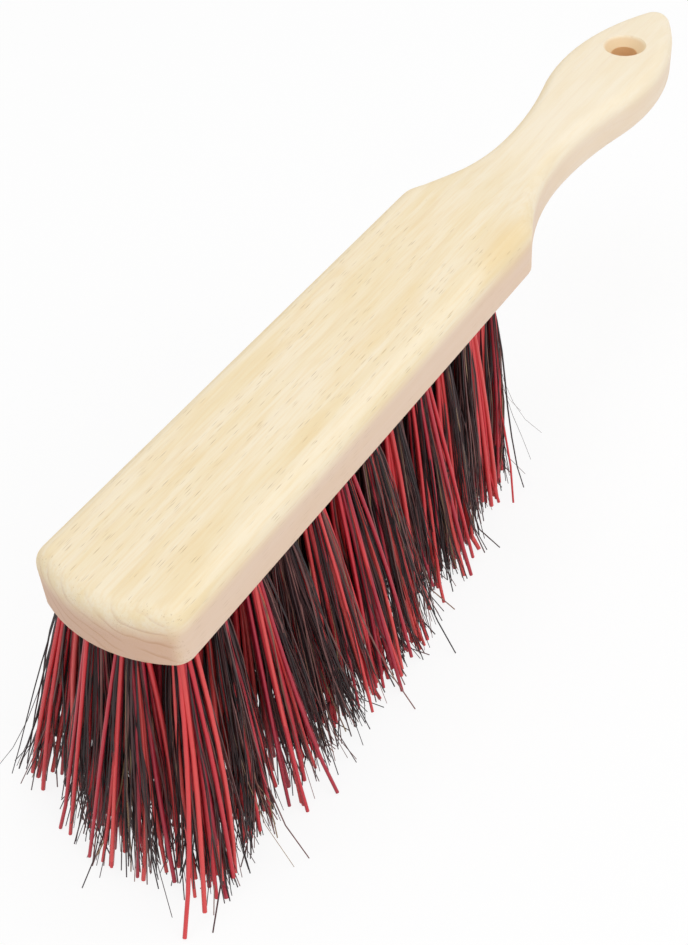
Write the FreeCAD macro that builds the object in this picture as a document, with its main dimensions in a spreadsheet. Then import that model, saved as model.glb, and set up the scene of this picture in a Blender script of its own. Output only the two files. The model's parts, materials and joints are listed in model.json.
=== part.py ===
import FreeCAD, Part
import math
import os

from FreeCAD import Placement, Rotation, Vector
from Sketcher import Constraint

# A wooden hand broom: one beech block that runs on into its handle, and tufts of bristle folded over
# flat steel anchors in blind holes. It is drawn with the nose at x = 0, the handle along +X and the
# block's underside at z = 0, and at the end it is stood on its bristle tips.

# Driving sizes in millimetres, counts, and shares of the handle's length
DRIVING_SIZES = (
    ("total_length", 302, "nose to handle tip"),
    ("block_length", 167, "nose to the shoulders"),
    ("block_width", 41.6, "across the parallel sides"),
    ("board_thickness", 16, "the beech board"),
    ("nose_bulge", 5.7, "how far the nose curves out past its corners"),
    ("nose_corner_radius", 5, "plan rounding where nose meets side"),
    ("shoulder_radius", 8, "plan rounding where side turns into the handle"),
    ("neck_share", 0.32, "shoulders to the handle's narrowest place"),
    ("neck_width", 19.8, "handle width there"),
    ("swell_share", 0.69, "shoulders to the handle's widest place"),
    ("swell_width", 32, "handle width there"),
    ("tip_radius", 5.5, "plan rounding of the handle tip"),
    ("ramp_lead", 4, "how far before the shoulders the top starts to slope down"),
    ("ramp_share", 0.255, "shoulders to the foot of that slope"),
    ("handle_drop", 1.8, "handle's top below the block's"),
    ("edge_radius", 4.5, "rounding of the upper edges"),
    ("grip_radius", 2.5, "rounding of the handle's lower edges"),
    ("hanger_from_tip", 28.5, "hanging hole to handle tip"),
    ("hanger_bore", 8.2, "hanging hole"),
    ("hanger_mouth", 13.8, "its eased mouth, both faces"),
    ("bristle_length", 66, "underside of the block to the floor"),
    ("tuft_pitch", 12.7, "tuft to tuft along a row"),
    ("row_pitch", 10.2, "row to row"),
    ("outer_row_start", 11, "nose to the first tuft of an outer row"),
    ("inner_row_start", 6.2, "nose to the first tuft of an inner row"),
    ("outer_row_count", 12, "tufts in an outer row"),
    ("inner_row_count", 12, "tufts in an inner row"),
    ("hole_diameter", 6.6, "tuft hole, across its corners"),
    ("hole_depth", 10, "tuft hole, along its slant"),
    ("hole_sides", 6, "facets that stand for the hole's round wall"),
    ("tuft_clearance", 0.05, "tuft to the wall of its hole"),
    ("tuft_collar", 2, "bound length of a tuft below its hole"),
    ("tuft_spread", 10.4, "width of a tuft at its longest tips"),
    ("strand_root", 1.7, "a strand of bristles where it leaves the collar"),
    ("strand_tip", 3.4, "the same strand at its longest tip"),
    ("strand_gap", 0.4, "between strands at the collar"),
    ("side_lean", 12.5, "outward reach of an outer tuft at the floor"),
    ("row_lean", 5, "forward reach of every tuft at the floor"),
    ("nose_lean", 9, "how much further forward a nose tuft reaches"),
    ("nose_fan", 55, "length of row over which that further reach fades"),
    ("anchor_bite", 1.2, "anchor end into the wood, each side"),
    ("anchor_thickness", 0.6, "anchor strip"),
    ("anchor_height", 2, "anchor strip, along the hole"),
    ("fold_thickness", 1.3, "folded bristle between anchor and hole floor"),
    ("overrun", 4, "how far a cut runs past the face it opens"),
)


def make_sheet(doc):
    sheet = doc.addObject("Spreadsheet::Sheet", "Sizes")
    for row, (alias, value, meaning) in enumerate(DRIVING_SIZES, start=1):
        sheet.set(f"A{row}", meaning)
        sheet.set(f"B{row}", str(value))
        sheet.setAlias(f"B{row}", alias)
    doc.recompute()
    return sheet


def read_sizes(sheet):
    return {alias: float(sheet.get(alias)) for alias, _, _ in DRIVING_SIZES}


def bind(thing, **expressions):
    """Tie properties of an object to cells of the sheet."""
    for name, expression in expressions.items():
        thing.setExpression(name, expression)


def origin_plane(body, role):
    return next(item for item in body.Origin.OriginFeatures if item.Role == role)


def new_sketch(body, name, role="XY_Plane"):
    sketch = body.newObject("Sketcher::SketchObject", name)
    sketch.AttachmentSupport = (origin_plane(body, role), [""])
    sketch.MapMode = "FlatFace"
    return sketch


# The numbers by which a sketch knows a curve's points, its own X axis and its origin
START, END, CENTRE = range(1, 4)
AXIS = -1
ORIGIN = (AXIS, START)


def add_arc(sketch, centre, radius, first, last):
    """An arc about centre, turning left from first to last."""
    angles = [math.atan2(point.y - centre.y, point.x - centre.x) for point in (first, last)]
    circle = Part.Circle(centre, Vector(0, 0, 1), radius)
    return sketch.addGeometry(Part.ArcOfCircle(circle, *angles))


def add_line(sketch, first, last):
    return sketch.addGeometry(Part.LineSegment(first, last))


def join(sketch, first, last, smooth=True):
    kind = "Tangent" if smooth else "Coincident"
    sketch.addConstraint(Constraint(kind, *first, *last))


def dimension(sketch, kind, name, expression, value, *curve):
    """A named dimension of the sketch, tied to the sheet."""
    index = sketch.addConstraint(Constraint(kind, *curve, value))
    sketch.renameConstraint(index, name)
    sketch.setExpression(f"Constraints.{name}", expression)


# Sizes that follow from those in the sheet
HANDLE_LENGTH = "(Sizes.total_length - Sizes.block_length)"
NOSE_RADIUS = "(Sizes.block_width ^ 2 / 4 + Sizes.nose_bulge ^ 2) / (2 * Sizes.nose_bulge)"
NECK_AT = f"Sizes.block_length + Sizes.neck_share * {HANDLE_LENGTH}"
SWELL_AT = f"Sizes.block_length + Sizes.swell_share * {HANDLE_LENGTH}"
RAMP_AT = "Sizes.block_length - Sizes.ramp_lead"
RAMP_FOOT = f"Sizes.block_length + Sizes.ramp_share * {HANDLE_LENGTH}"
RAMP_LENGTH = f"Sizes.ramp_lead + Sizes.ramp_share * {HANDLE_LENGTH}"
TIP_REACH = f"((1 - Sizes.swell_share) * {HANDLE_LENGTH})"
SWELL_RADIUS = (
    f"({TIP_REACH} ^ 2 + Sizes.swell_width ^ 2 / 4 - 2 * {TIP_REACH} * Sizes.tip_radius)"
    " / (Sizes.swell_width - 2 * Sizes.tip_radius)"
)


def draw_nose_and_side(sketch, size):
    """Half the block in plan: the nose's arc, its rounded corner and the straight side."""
    half = size["block_width"] / 2
    corner = size["nose_corner_radius"]
    bulge = size["nose_bulge"]
    radius = (half**2 + bulge**2) / (2 * bulge)
    nose_centre = Vector(radius, 0, 0)
    corner_y = half - corner
    corner_centre = Vector(radius - math.sqrt((radius - corner) ** 2 - corner_y**2), corner_y, 0)
    outward = (corner_centre - nose_centre).normalize()
    corner_end = corner_centre + outward * corner
    side_start = corner_centre + Vector(0, corner, 0)
    side_end = Vector(size["block_length"], half, 0)

    nose = add_arc(sketch, nose_centre, radius, corner_end, Vector(0, 0, 0))
    rounding = add_arc(sketch, corner_centre, corner, side_start, corner_end)
    side = add_line(sketch, side_start, side_end)
    join(sketch, (nose, START), (rounding, END))
    join(sketch, (rounding, START), (side, START))
    join(sketch, (nose, END), ORIGIN, smooth=False)
    sketch.addConstraint(Constraint("PointOnObject", nose, CENTRE, AXIS))
    sketch.addConstraint(Constraint("Horizontal", side))
    dimension(sketch, "Radius", "nose_radius", NOSE_RADIUS, radius, nose)
    dimension(sketch, "Radius", "nose_corner", "Sizes.nose_corner_radius", corner, rounding)
    dimension(sketch, "DistanceY", "half_width", "Sizes.block_width / 2", half, *ORIGIN, side, START)
    dimension(sketch, "DistanceX", "side_end", "Sizes.block_length", side_end.x, *ORIGIN, side, END)
    return side


def close_on_axis(sketch, start, end):
    axis = add_line(sketch, start, end)
    join(sketch, (axis, START), ORIGIN, smooth=False)
    sketch.addConstraint(Constraint("PointOnObject", axis, END, AXIS))
    return axis


def draw_block_half(sketch, size):
    """Half of what keeps a crisp lower edge: round the shoulder and then straight on to a point, while the
    handle curves away from it, so that the handle's own rounding comes in by degrees."""
    half, radius, shoulder_at = size["block_width"] / 2, size["shoulder_radius"], size["block_length"]
    point_at = shoulder_at + size["ramp_share"] * (size["total_length"] - shoulder_at)
    centre = Vector(shoulder_at, half - radius, 0)
    point = Vector(point_at, 0, 0)
    to_point = point - centre
    leaves = math.atan2(to_point.y, to_point.x) + math.acos(radius / to_point.Length)
    turned = centre + Vector(math.cos(leaves), math.sin(leaves), 0) * radius

    side = draw_nose_and_side(sketch, size)
    shoulder = add_arc(sketch, centre, radius, turned, Vector(shoulder_at, half, 0))
    tail = add_line(sketch, turned, point)
    axis = close_on_axis(sketch, Vector(0, 0, 0), point)
    join(sketch, (side, END), (shoulder, END))
    join(sketch, (shoulder, START), (tail, START))
    join(sketch, (tail, END), (axis, END), smooth=False)
    dimension(sketch, "Radius", "shoulder", "Sizes.shoulder_radius", radius, shoulder)
    dimension(sketch, "DistanceX", "point_at", RAMP_FOOT, point_at, *ORIGIN, axis, END)


def draw_broom_half(sketch, size):
    """Half the whole board in plan: shoulder, neck, swelling and tip are arcs that run into one another."""
    half, neck, swell = (size[name] / 2 for name in ("block_width", "neck_width", "swell_width"))
    shoulder_at, end_at = size["block_length"], size["total_length"]
    neck_at = shoulder_at + size["neck_share"] * (end_at - shoulder_at)
    swell_at = shoulder_at + size["swell_share"] * (end_at - shoulder_at)
    shoulder, tip = size["shoulder_radius"], size["tip_radius"]

    fall, run = half - neck, neck_at - shoulder_at
    flank = (run**2 + fall**2) / (2 * fall) - shoulder
    reach = end_at - swell_at
    belly = (reach**2 + swell**2 - 2 * reach * tip) / (2 * (swell - tip))
    rise, grip = swell - neck, swell_at - neck_at
    waist = (grip**2 + rise**2) / (2 * rise) - belly

    shoulder_centre = Vector(shoulder_at, half - shoulder, 0)
    flank_centre = Vector(neck_at, neck + flank, 0)
    waist_centre = Vector(neck_at, neck + waist, 0)
    belly_centre = Vector(swell_at, swell - belly, 0)
    tip_centre = Vector(end_at - tip, 0, 0)
    neck_point = Vector(neck_at, neck, 0)
    shoulder_end = shoulder_centre + (flank_centre - shoulder_centre).normalize() * shoulder
    waist_end = waist_centre + (belly_centre - waist_centre).normalize() * waist
    belly_end = belly_centre + (tip_centre - belly_centre).normalize() * belly
    side_end = Vector(shoulder_at, half, 0)
    tip_end = Vector(end_at, 0, 0)

    side = draw_nose_and_side(sketch, size)
    shoulder_arc = add_arc(sketch, shoulder_centre, shoulder, shoulder_end, side_end)
    flank_arc = add_arc(sketch, flank_centre, flank, shoulder_end, neck_point)
    waist_arc = add_arc(sketch, waist_centre, waist, neck_point, waist_end)
    belly_arc = add_arc(sketch, belly_centre, belly, belly_end, waist_end)
    tip_arc = add_arc(sketch, tip_centre, tip, tip_end, belly_end)
    axis = close_on_axis(sketch, Vector(0, 0, 0), tip_end)
    join(sketch, (side, END), (shoulder_arc, END))
    join(sketch, (shoulder_arc, START), (flank_arc, START))
    join(sketch, (flank_arc, END), (waist_arc, START))
    join(sketch, (waist_arc, END), (belly_arc, END))
    join(sketch, (belly_arc, START), (tip_arc, END))
    join(sketch, (tip_arc, START), (axis, END), smooth=False)
    sketch.addConstraint(Constraint("PointOnObject", tip_arc, CENTRE, AXIS))
    sketch.addConstraint(Constraint("Vertical", flank_arc, CENTRE, flank_arc, END))
    dimension(sketch, "Radius", "shoulder", "Sizes.shoulder_radius", shoulder, shoulder_arc)
    dimension(sketch, "Radius", "tip", "Sizes.tip_radius", tip, tip_arc)
    dimension(sketch, "Radius", "belly", SWELL_RADIUS, belly, belly_arc)
    dimension(sketch, "DistanceX", "neck_at", NECK_AT, neck_at, *ORIGIN, flank_arc, END)
    dimension(
        sketch, "DistanceY", "half_neck", "Sizes.neck_width / 2", neck, *ORIGIN, flank_arc, END
    )
    dimension(sketch, "DistanceX", "swell_at", SWELL_AT, swell_at, *ORIGIN, belly_arc, CENTRE)
    dimension(sketch, "DistanceX", "end_at", "Sizes.total_length", end_at, *ORIGIN, axis, END)


def draw_handle_drop(sketch, size):
    """What is planed off the handle, from the side: an easy S down from the block's top, then level."""
    shoulder_at, end_at = size["block_length"], size["total_length"]
    start_at = shoulder_at - size["ramp_lead"]
    slope = size["ramp_lead"] + size["ramp_share"] * (end_at - shoulder_at)
    top, drop = size["board_thickness"], size["handle_drop"]
    past, above = end_at + size["overrun"], top + size["overrun"]
    radius = (slope**2 + drop**2) / (4 * drop)
    crest_point = Vector(start_at, top, 0)
    foot_point = Vector(start_at + slope, top - drop, 0)
    middle = (crest_point + foot_point) / 2

    crest = add_arc(sketch, crest_point - Vector(0, radius, 0), radius, middle, crest_point)
    hollow = add_arc(sketch, foot_point + Vector(0, radius, 0), radius, middle, foot_point)
    level = add_line(sketch, foot_point, Vector(past, top - drop, 0))
    end = add_line(sketch, Vector(past, top - drop, 0), Vector(past, above, 0))
    lid = add_line(sketch, Vector(past, above, 0), Vector(start_at, above, 0))
    front = add_line(sketch, Vector(start_at, above, 0), crest_point)
    join(sketch, (crest, START), (hollow, START))
    join(sketch, (hollow, END), (level, START))
    for first, last in ((level, end), (end, lid), (lid, front)):
        join(sketch, (first, END), (last, START), smooth=False)
    join(sketch, (front, END), (crest, END), smooth=False)
    for line in (level, lid):
        sketch.addConstraint(Constraint("Horizontal", line))
    for line in (end, front):
        sketch.addConstraint(Constraint("Vertical", line))
    sketch.addConstraint(Constraint("Vertical", crest, CENTRE, crest, END))
    sketch.addConstraint(Constraint("Equal", crest, hollow))
    dimension(sketch, "DistanceX", "crest_at", RAMP_AT, start_at, *ORIGIN, crest, END)
    dimension(sketch, "DistanceY", "top", "Sizes.board_thickness", top, *ORIGIN, crest, END)
    dimension(sketch, "DistanceX", "slope", RAMP_LENGTH, slope, crest, END, hollow, END)
    dimension(sketch, "DistanceY", "drop", "Sizes.handle_drop", drop, hollow, END, crest, END)
    dimension(
        sketch, "DistanceX", "past_tip", "Sizes.total_length + Sizes.overrun", past, *ORIGIN, level, END
    )
    dimension(
        sketch, "DistanceY", "above", "Sizes.board_thickness + Sizes.overrun", above, *ORIGIN, lid, END
    )


def cut_through(body, sketch, name, base, **settings):
    """Pocket a sketch right through the body, and make sure that it cuts."""
    pocket = body.newObject("PartDesign::Pocket", name)
    pocket.Profile = sketch
    pocket.Type = "ThroughAll"
    for setting, value in settings.items():
        setattr(pocket, setting, value)
    body.Tip = pocket
    body.Document.recompute()
    if pocket.Shape.Volume >= base.Shape.Volume:
        raise RuntimeError(f"{name} cuts nothing")
    return pocket


def pad_both_halves(body, sketch, name):
    """Pad a half outline to the board's thickness and mirror it across the broom's length."""
    pad = body.newObject("PartDesign::Pad", f"{name}_half")
    pad.Profile = sketch
    bind(pad, Length="Sizes.board_thickness")
    whole = body.newObject("PartDesign::Mirrored", name)
    whole.Originals = [pad]
    whole.MirrorPlane = (origin_plane(body, "XZ_Plane"), [""])
    body.Tip = whole
    body.Document.recompute()
    return whole


# Two heights closer than this are one
SAME_HEIGHT = 1e-6


def lower_rim(shape):
    """Names of the edges that lie wholly at the underside's height."""
    names = []
    for number, edge in enumerate(shape.Edges, start=1):
        ends = [vertex.Point.z for vertex in edge.Vertexes]
        middle = edge.valueAt((edge.FirstParameter + edge.LastParameter) / 2).z
        if all(abs(z) < SAME_HEIGHT for z in ends + [middle]):
            names.append(f"Edge{number}")
    return names


def faces_up(face):
    low_u, high_u, low_v, high_v = face.ParameterRange
    normal = face.normalAt((low_u + high_u) / 2, (low_v + high_v) / 2)
    return normal.z > abs(normal.x) + abs(normal.y)


def upper_rim(shape):
    """Names of the edges where the top, level or sloping, meets the sides."""
    top = [face for face in shape.Faces if faces_up(face)]
    names = []
    for number, edge in enumerate(shape.Edges, start=1):
        sharing = [face for face in top if any(edge.isSame(other) for other in face.Edges)]
        if len(sharing) == 1:
            names.append(f"Edge{number}")
    return names


def hole_rims(shape):
    return [
        f"Edge{number}"
        for number, edge in enumerate(shape.Edges, start=1)
        if edge.Closed and edge.Curve.TypeId == "Part::GeomCircle"
    ]


def finish_edges(body, kind, name, base, edges, **expressions):
    finish = body.newObject(kind, name)
    finish.Base = (base, edges)
    bind(finish, **expressions)
    body.Tip = finish
    body.Document.recompute()
    return finish


def draw_hanger(sketch, size):
    hanger_at, bore = size["total_length"] - size["hanger_from_tip"], size["hanger_bore"]
    circle = sketch.addGeometry(Part.Circle(Vector(hanger_at, 0, 0), Vector(0, 0, 1), bore / 2))
    sketch.addConstraint(Constraint("PointOnObject", circle, CENTRE, AXIS))
    dimension(
        sketch, "DistanceX", "hanger_at", "Sizes.total_length - Sizes.hanger_from_tip", hanger_at,
        *ORIGIN, circle, CENTRE,
    )
    dimension(sketch, "Diameter", "bore", "Sizes.hanger_bore", bore, circle)


def make_board(doc, size):
    """The shaped board, before the tuft holes are drilled."""
    body = doc.addObject("PartDesign::Body", "board")

    outline = new_sketch(body, "broom_outline")
    draw_broom_half(outline, size)
    broom = pad_both_halves(body, outline, "broom_pad")
    finish_edges(
        body, "PartDesign::Fillet", "grip_edges", broom, lower_rim(broom.Shape),
        Radius="Sizes.grip_radius",
    )

    # The block itself keeps a crisp lower edge, from the nose to just behind the shoulders
    block_outline = new_sketch(body, "block_outline")
    draw_block_half(block_outline, size)
    block = pad_both_halves(body, block_outline, "block_pad")

    side_view = new_sketch(body, "handle_side_view", "XZ_Plane")
    draw_handle_drop(side_view, size)
    shaped = cut_through(body, side_view, "handle_drop", block, Midplane=True)
    top = finish_edges(
        body, "PartDesign::Fillet", "upper_edges", shaped, upper_rim(shaped.Shape),
        Radius="Sizes.edge_radius",
    )

    circle = new_sketch(body, "hanger_circle")
    draw_hanger(circle, size)
    hanger = cut_through(body, circle, "hanger_hole", top, Reversed=True)
    finish_edges(
        body, "PartDesign::Chamfer", "hanger_mouths", hanger, hole_rims(hanger.Shape),
        Size="(Sizes.hanger_mouth - Sizes.hanger_bore) / 2",
    )
    return body


def tuft_places(size):
    """Every tuft's name and placement: mouth of its hole, turned down the way the tuft leans."""
    outer, inner = size["row_pitch"] * 3 / 2, size["row_pitch"] / 2
    rows = (
        ("left_outer", outer, size["outer_row_start"], int(size["outer_row_count"])),
        ("left_inner", inner, size["inner_row_start"], int(size["inner_row_count"])),
        ("right_inner", -inner, size["inner_row_start"], int(size["inner_row_count"])),
        ("right_outer", -outer, size["outer_row_start"], int(size["outer_row_count"])),
    )
    places = []
    for row, y, start, count in rows:
        for index in range(count):
            x = start + index * size["tuft_pitch"]
            fade = max(0, 1 - (x - size["inner_row_start"]) / size["nose_fan"])
            forward = size["row_lean"] + size["nose_lean"] * fade**2
            outward = size["side_lean"] * y / outer
            lean = Vector(-forward, outward, -size["bristle_length"])
            turn = Rotation(Vector(0, 0, -1), lean)
            places.append((f"tuft_{row}_{index + 1:02d}", Placement(Vector(x, y, 0), turn)))
    return places


def half_facet(size):
    """Turn a faceted hole or tuft so that its flats face along and across the broom."""
    return Placement(Vector(), Rotation(Vector(0, 0, 1), 180 / size["hole_sides"]))


def make_drillings(doc, size, places):
    """The slanted blind holes, one for each tuft."""
    drills = []
    below = Placement(Vector(0, 0, -size["overrun"]), Rotation())
    for name, place in places:
        drill = doc.addObject("Part::Prism", f"drill_{name}")
        bind(
            drill,
            Polygon="Sizes.hole_sides",
            Circumradius="Sizes.hole_diameter / 2",
            Height="Sizes.hole_depth + Sizes.overrun",
        )
        drill.Placement = place.multiply(below).multiply(half_facet(size))
        drills.append(drill)
    return group(doc, "drillings", drills)


def group(doc, name, things):
    compound = doc.addObject("Part::Compound", name)
    compound.Links = things
    return compound


def anchor_strip(doc, name, size, place):
    """A flat strip across a tuft hole, longer than the hole is wide."""
    strip = doc.addObject("Part::Box", name)
    bind(
        strip,
        Length="Sizes.hole_diameter + 2 * Sizes.anchor_bite",
        Width="Sizes.anchor_thickness",
        Height="Sizes.anchor_height",
    )
    corner = Vector(
        -(size["hole_diameter"] / 2 + size["anchor_bite"]),
        -size["anchor_thickness"] / 2,
        size["hole_depth"] - size["fold_thickness"] - size["anchor_height"],
    )
    strip.Placement = place.multiply(Placement(corner, Rotation()))
    return strip


def make_anchors(doc, size, places):
    return group(
        doc, "anchor_set", [anchor_strip(doc, f"anchor_{name}", size, place) for name, place in places]
    )


def tuft_length(size):
    """Long enough along its slant for the most fanned tuft to pass the floor."""
    forward = size["row_lean"] + size["nose_lean"]
    return Vector(forward, size["side_lean"], size["bristle_length"]).Length + size["tuft_spread"]


def make_strand(doc, size, index, along, across):
    """A tapered strand of bristles, from inside the collar out to its own side of the tuft."""
    strand = doc.addObject("Part::Wedge", f"strand_{index}")
    root = "(Sizes.strand_root + Sizes.strand_gap) / 2"
    tip = "(Sizes.tuft_spread - Sizes.strand_tip) / 2"
    strand.Ymin = 0
    strand.Ymax = tuft_length(size)
    bind(
        strand,
        Xmin=f"{along} * {root} - Sizes.strand_root / 2",
        Xmax=f"{along} * {root} + Sizes.strand_root / 2",
        Zmin=f"{across} * {root} - Sizes.strand_root / 2",
        Zmax=f"{across} * {root} + Sizes.strand_root / 2",
        X2min=f"{along} * {tip} - Sizes.strand_tip / 2",
        X2max=f"{along} * {tip} + Sizes.strand_tip / 2",
        Z2min=f"{across} * {tip} - Sizes.strand_tip / 2",
        Z2max=f"{across} * {tip} + Sizes.strand_tip / 2",
    )
    strand.Placement = Placement(Vector(), Rotation(Vector(1, 0, 0), -90))
    return strand


# Sides of the tuft that its strands lean to, along and across the broom
STRAND_SIDES = ((1, 1), (1, -1), (-1, 1), (-1, -1))


def make_bundle(doc, size):
    """One tuft upright: folded end up in its hole, bound at the mouth, strands spreading to the tips."""
    fold = doc.addObject("Part::Prism", "tuft_fold")
    bind(
        fold,
        Polygon="Sizes.hole_sides",
        Circumradius="Sizes.hole_diameter / 2 - Sizes.tuft_clearance",
        Height="Sizes.hole_depth + Sizes.tuft_collar",
    )
    fold.Placement = Placement(Vector(0, 0, -size["tuft_collar"]), Rotation()).multiply(half_facet(size))
    strands = [make_strand(doc, size, index, *side) for index, side in enumerate(STRAND_SIDES)]
    spread = doc.addObject("Part::MultiFuse", "tuft_bundle")
    spread.Shapes = [fold] + strands
    return cut(doc, "tuft_on_anchor", spread, anchor_strip(doc, "tuft_slot", size, Placement()))


def make_tuft(doc, size, name, place, bundle):
    """A tuft in its place, trimmed level with the floor."""
    floor = doc.addObject("Part::Box", f"floor_{name}")
    span = 2 * tuft_length(size)
    floor.Length = floor.Width = floor.Height = span
    below = Vector(-span / 2, -span / 2, -size["bristle_length"] - span) + Vector(
        place.Base.x, place.Base.y, 0
    )
    floor.Placement = place.inverse().multiply(Placement(below, Rotation()))
    tuft = cut(doc, name, bundle, floor)
    tuft.Placement = place
    return tuft


def cut(doc, name, base, tool):
    result = doc.addObject("Part::Cut", name)
    result.Base = base
    result.Tool = tool
    return result


def stand_on_floor(pieces, tufts, size):
    """Set the origin on the floor, under the middle of the broom's length."""
    nose_side = min(tuft.Shape.BoundBox.XMin for tuft in tufts)
    middle = (nose_side + size["total_length"]) / 2
    shift = Placement(Vector(-middle, 0, size["bristle_length"]), Rotation())
    for piece in pieces:
        piece.Placement = shift.multiply(piece.Placement)


def check(doc, pieces):
    failed = [item.Name for item in doc.Objects if {"Invalid", "Error"} & set(item.State)]
    failed += [item.Label for item in pieces if item.Shape.isNull() or not item.Shape.isValid()]
    if failed:
        raise RuntimeError(f"not built: {failed}")


def main():
    doc = FreeCAD.newDocument("hand_broom")
    size = read_sizes(make_sheet(doc))
    places = tuft_places(size)

    board = make_board(doc, size)
    anchor_set = make_anchors(doc, size, places)
    drilled = cut(doc, "drilled_board", board, make_drillings(doc, size, places))
    block = cut(doc, "block", drilled, anchor_set)
    anchors = group(doc, "anchors", [anchor_set])
    bundle = make_bundle(doc, size)
    tufts = [make_tuft(doc, size, name, place, bundle) for name, place in places]
    doc.recompute()

    pieces = [block, anchors] + tufts
    stand_on_floor(pieces, tufts, size)
    doc.recompute()
    check(doc, pieces)

    os.makedirs("parts", exist_ok=True)
    for piece in pieces:
        piece.Shape.exportStep(os.path.join("parts", f"{piece.Label}.step"))
    print(f"{len(pieces)} pieces, {len(tufts)} of them tufts")
    print(f"{block.Shape.Volume:.0f} cubic millimetres of wood")


main()
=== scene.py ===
# %% [markdown]
# # A wooden hand broom
# The real broom is one board of pale beech, carved into a block and a handle, with folded tufts of red
# plastic filament and dark palm fibre set in its underside. The construction model is loaded first and
# stays where it is: the wood is finished on a copy of its block, and every tuft, which is a bundle of
# plain strands there, is drawn again here as the single bristles that a hand would feel.

# %% Load the frame
import json
import math
import random

import bpy
from mathutils import Matrix, Vector


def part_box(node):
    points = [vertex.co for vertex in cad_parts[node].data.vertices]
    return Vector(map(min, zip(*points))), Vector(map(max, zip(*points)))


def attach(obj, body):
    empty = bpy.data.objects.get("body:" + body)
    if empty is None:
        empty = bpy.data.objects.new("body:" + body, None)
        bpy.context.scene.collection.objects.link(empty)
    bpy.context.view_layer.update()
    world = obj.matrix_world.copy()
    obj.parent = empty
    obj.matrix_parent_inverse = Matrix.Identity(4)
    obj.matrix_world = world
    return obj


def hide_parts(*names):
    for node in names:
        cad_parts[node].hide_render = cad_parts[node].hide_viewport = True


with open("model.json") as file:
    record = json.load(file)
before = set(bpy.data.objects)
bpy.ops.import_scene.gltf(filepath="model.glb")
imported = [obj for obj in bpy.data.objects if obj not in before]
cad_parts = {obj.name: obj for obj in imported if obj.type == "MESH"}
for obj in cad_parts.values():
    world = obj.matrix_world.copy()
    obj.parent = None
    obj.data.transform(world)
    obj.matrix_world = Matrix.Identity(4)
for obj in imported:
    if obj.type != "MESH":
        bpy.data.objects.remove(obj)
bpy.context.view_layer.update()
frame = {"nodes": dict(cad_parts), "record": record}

MM = 0.001
BODY = "root"
block_low, block_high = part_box("block")
UNDERSIDE = block_low.z
NOSE = block_low.x
print("frame:", len(frame["nodes"]), "nodes, block underside", round(UNDERSIDE / MM, 1), "mm above the floor")


# %% [markdown]
# ## The camera
# The photograph looks down on the nose from the front, a little to the right of the broom, with the
# handle running away to the upper right. The camera could be aimed at a target object, but a place and
# three angles say the same and need nothing else in the scene: turn it to the heading, tilt it down,
# and roll it slightly, because the picture isn't quite level. The place is measured from the nose and
# from the underside of the block.

# %% Place the camera
CAMERA_BEFORE_NOSE = 139.7 * MM
CAMERA_TO_THE_RIGHT = 172.4 * MM
CAMERA_ABOVE_UNDERSIDE = 254.4 * MM
CAMERA_HEADING = math.radians(35.82)
CAMERA_DOWN = math.radians(44.02)
CAMERA_ROLL = math.radians(-4.77)
CAMERA_LENS = 56.54
CAMERA_NEAR_END = 1 * MM

bpy.ops.object.select_all(action="DESELECT")
bpy.ops.object.camera_add()
camera = bpy.context.object
camera.name = "photo_camera"
camera.data.lens = CAMERA_LENS
camera.data.clip_start = CAMERA_NEAR_END
camera.matrix_world = (
    Matrix.Translation((NOSE - CAMERA_BEFORE_NOSE, -CAMERA_TO_THE_RIGHT, UNDERSIDE + CAMERA_ABOVE_UNDERSIDE))
    @ Matrix.Rotation(CAMERA_HEADING - math.pi / 2, 4, "Z")
    @ Matrix.Rotation(math.pi / 2 - CAMERA_DOWN, 4, "X")
    @ Matrix.Rotation(CAMERA_ROLL, 4, "Z")
)
bpy.context.scene.camera = camera
bpy.context.scene.view_settings.view_transform = "Standard"
print("camera at", [round(c / MM, 1) for c in camera.matrix_world.translation], "mm")


# %% [markdown]
# ## Small helpers for materials
# A material is a tree of nodes. Adding a node, setting it and linking it takes four lines each time, so
# short helpers do it: one adds a node, one feeds a socket with a link or a plain value, two do sums with
# numbers and with vectors, and two mix colours. Colours are written the way a colour picker shows them,
# from 0 to 255, and turned into the linear values that a shader works with.

# %% Node helpers
def colour(red, green, blue):
    """A picked colour, 0 to 255, as linear red, green, blue and alpha, by the sRGB formula."""
    linear = []
    for level in (red / 255, green / 255, blue / 255):
        linear.append(level / 12.92 if level <= 0.04045 else ((level + 0.055) / 1.055) ** 2.4)
    return (*linear, 1.0)


def add_node(tree, kind, **settings):
    """Adds a shader node of this kind and sets its properties."""
    node = tree.nodes.new("ShaderNode" + kind)
    for name, value in settings.items():
        setattr(node, name, value)
    return node


def feed(tree, socket, source):
    """Links a source socket to a socket, or sets a plain value on it."""
    if isinstance(source, bpy.types.NodeSocket):
        tree.links.new(source, socket)
    else:
        socket.default_value = source


def reckon(tree, operation, *values):
    """The result of a Math node."""
    node = add_node(tree, "Math", operation=operation)
    for socket, value in zip(node.inputs, values):
        feed(tree, socket, value)
    return node.outputs["Value"]


def reckon_vector(tree, operation, *values):
    """The result of a Vector Math node, where that is a vector."""
    node = add_node(tree, "VectorMath", operation=operation)
    for socket, value in zip(node.inputs, values):
        feed(tree, socket, value)
    return node.outputs["Vector"]


def blend_colours(tree, factor, first, second):
    """The colour between two colours, as a Mix node gives it."""
    node = add_node(tree, "Mix", data_type="RGBA")
    colour_inputs = [socket for socket in node.inputs if socket.type == "RGBA"]
    feed(tree, node.inputs["Factor"], factor)
    feed(tree, colour_inputs[0], first)
    feed(tree, colour_inputs[1], second)
    return next(socket for socket in node.outputs if socket.type == "RGBA")


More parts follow.
